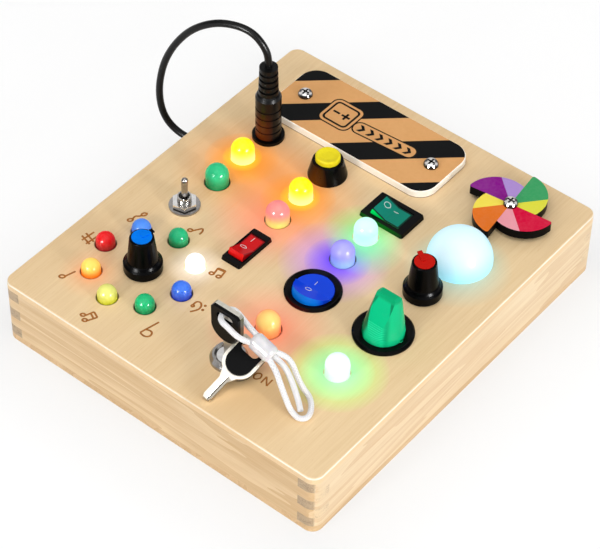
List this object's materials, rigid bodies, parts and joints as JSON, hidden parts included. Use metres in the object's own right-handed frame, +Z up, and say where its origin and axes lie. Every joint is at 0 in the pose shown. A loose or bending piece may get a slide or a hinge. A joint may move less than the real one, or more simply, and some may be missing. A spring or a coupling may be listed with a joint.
{
  "type": "busy board",
  "caption": "Small wooden busy board: a shallow box whose top carries lit lamps, rocker, toggle, paddle and push switches, dials, a pinwheel, a key switch with keys, and a battery cover.",
  "frame": {"origin": "middle of the box underside, on the surface that it lies on", "axes": "+Z up, out of the top panel; +Y to the back edge, where the battery cover is; +X to the right side, where the pinwheel is"},
  "size_m": [0.1763, 0.175, 0.0835],
  "materials": {
    "plywood": "clear-coated birch plywood, satin",
    "wall_wood": "clear-coated solid wood with finger joints, satin",
    "screw_steel": "plated steel",
    "lamp_lens": "coloured diffused lamp lenses, several lit",
    "circuit_card": "green circuit card",
    "frosted_dome": "frosted translucent, lit from within",
    "striped_cover": "white edge, printed face",
    "black_plastic": "moulded, satin",
    "cell_wrap": "plain printed sleeve",
    "nickel": "nickel plated",
    "pot_body": "stamped metal",
    "blue_cap": "smooth",
    "red_cap": "smooth",
    "red_lens": "translucent red",
    "green_lens": "translucent green",
    "blue_lens": "translucent blue",
    "yellow_plastic": "smooth",
    "printed_disc": "printed in eight colours, black edge",
    "wheel_spacer": "smooth",
    "key_plastic": "moulded",
    "white_cord": "round braided cord",
    "clear_bead": "clear soft plastic sleeve",
    "black_rubber": "soft moulded",
    "black_matte": "moulded"
  },
  "bodies": {
    "root": {"back_wall": "wall_wood", "batteries": "cell_wrap", "battery_contacts": "nickel", "battery_cover": "striped_cover", "battery_holder": "black_plastic", "blue_rocker_housing": "black_plastic", "bottom_panel": "plywood", "bottom_screws": "screw_steel", "button_housing": "black_plastic", "button_nut": "black_plastic", "button_spring": "nickel", "cover_screws": "screw_steel", "dial_nuts": "nickel", "dial_pots": "pot_body", "dome_lamp": "frosted_dome", "front_wall": "wall_wood", "green_rocker_housing": "black_plastic", "jack_nut": "nickel", "lead_grommet": "black_rubber", "left_wall": "wall_wood", "lock_barrel": "nickel", "lock_nut": "nickel", "paddle_housing": "black_plastic", "pinwheel_nut": "screw_steel", "pinwheel_screw": "screw_steel", "pinwheel_spacer": "wheel_spacer", "plug_strain_relief": "black_rubber", "power_jack": "black_matte", "power_lead": "black_rubber", "power_plug": "black_matte", "red_rocker_housing": "black_plastic", "right_wall": "wall_wood", "ring_lamp_card": "circuit_card", "ring_lamps": "lamp_lens", "round_lamps": "lamp_lens", "toggle_body": "pot_body", "toggle_nut": "nickel", "toggle_washer": "nickel", "top_panel": "plywood"},
    "blue_dial": {"blue_dial": "black_plastic", "blue_dial_cap": "blue_cap", "blue_dial_shaft": "nickel"},
    "red_dial": {"red_dial": "black_plastic", "red_dial_cap": "red_cap", "red_dial_shaft": "nickel"},
    "toggle_lever": {"toggle_lever": "nickel"},
    "red_rocker": {"red_rocker": "red_lens"},
    "green_rocker": {"green_rocker": "green_lens"},
    "blue_rocker": {"blue_rocker": "blue_lens"},
    "paddle": {"paddle": "green_lens"},
    "button_cap": {"button_cap": "yellow_plastic"},
    "pinwheel": {"pinwheel": "printed_disc"},
    "lock_rotor": {"lock_rotor": "nickel"},
    "keys": {"key_blades": "nickel", "key_grips": "key_plastic", "lanyard_bead": "clear_bead", "lanyard_key_loop": "white_cord", "lanyard_long_loop": "white_cord", "lanyard_loose_end": "white_cord"}
  },
  "joints": [
    {"name": "blue_dial_turn", "type": "hinge", "parent": "root", "child": "blue_dial", "pos_m": [-0.03931, -0.04875, 0.03], "axis": [0, 0, 1], "range_deg": [-138, 162]},
    {"name": "red_dial_turn", "type": "hinge", "parent": "root", "child": "red_dial", "pos_m": [0.04951, 0.0091, 0.03], "axis": [0, 0, 1], "range_deg": [-209, 91]},
    {"name": "toggle_tip", "type": "hinge", "parent": "root", "child": "toggle_lever", "pos_m": [-0.04951, -0.0133, 0.033], "axis": [0.6157, 0.788, 0], "range_deg": [-18, 0]},
    {"name": "red_rocker_tip", "type": "hinge", "parent": "root", "child": "red_rocker", "pos_m": [-0.01559, -0.0161, 0.03042], "axis": [1, 0, 0], "range_deg": [0, 24]},
    {"name": "green_rocker_tip", "type": "hinge", "parent": "root", "child": "green_rocker", "pos_m": [0.01601, 0.0336, 0.03072], "axis": [0, -1, 0], "range_deg": [0, 24]},
    {"name": "blue_rocker_tip", "type": "hinge", "parent": "root", "child": "blue_rocker", "pos_m": [0.0175, -0.01661, 0.03012], "axis": [1, 0, 0], "range_deg": [0, 24]},
    {"name": "paddle_tip", "type": "hinge", "parent": "root", "child": "paddle", "pos_m": [0.0506, -0.01629, 0.031], "axis": [1, 0, 0], "range_deg": [0, 15.6]},
    {"name": "button_press", "type": "slide", "parent": "root", "child": "button_cap", "axis": [0, 0, -1], "range_m": [0, 0.0012], "stiffness_N_per_m": 400, "springref_m": -0.001, "deforming": ["button_spring"]},
    {"name": "pinwheel_spin", "type": "hinge", "parent": "root", "child": "pinwheel", "pos_m": [0.0504, 0.06381, 0.032], "axis": [0, 0, 1], "continuous": true},
    {"name": "key_turn", "type": "hinge", "parent": "root", "child": "lock_rotor", "pos_m": [0.0152, -0.0627, 0.03], "axis": [0, 0, 1], "range_deg": [-90, 0]},
    {"name": "key_pull", "type": "slide", "parent": "lock_rotor", "child": "keys", "axis": [0, 0, 1], "range_m": [0, 0.01]}
  ]
}
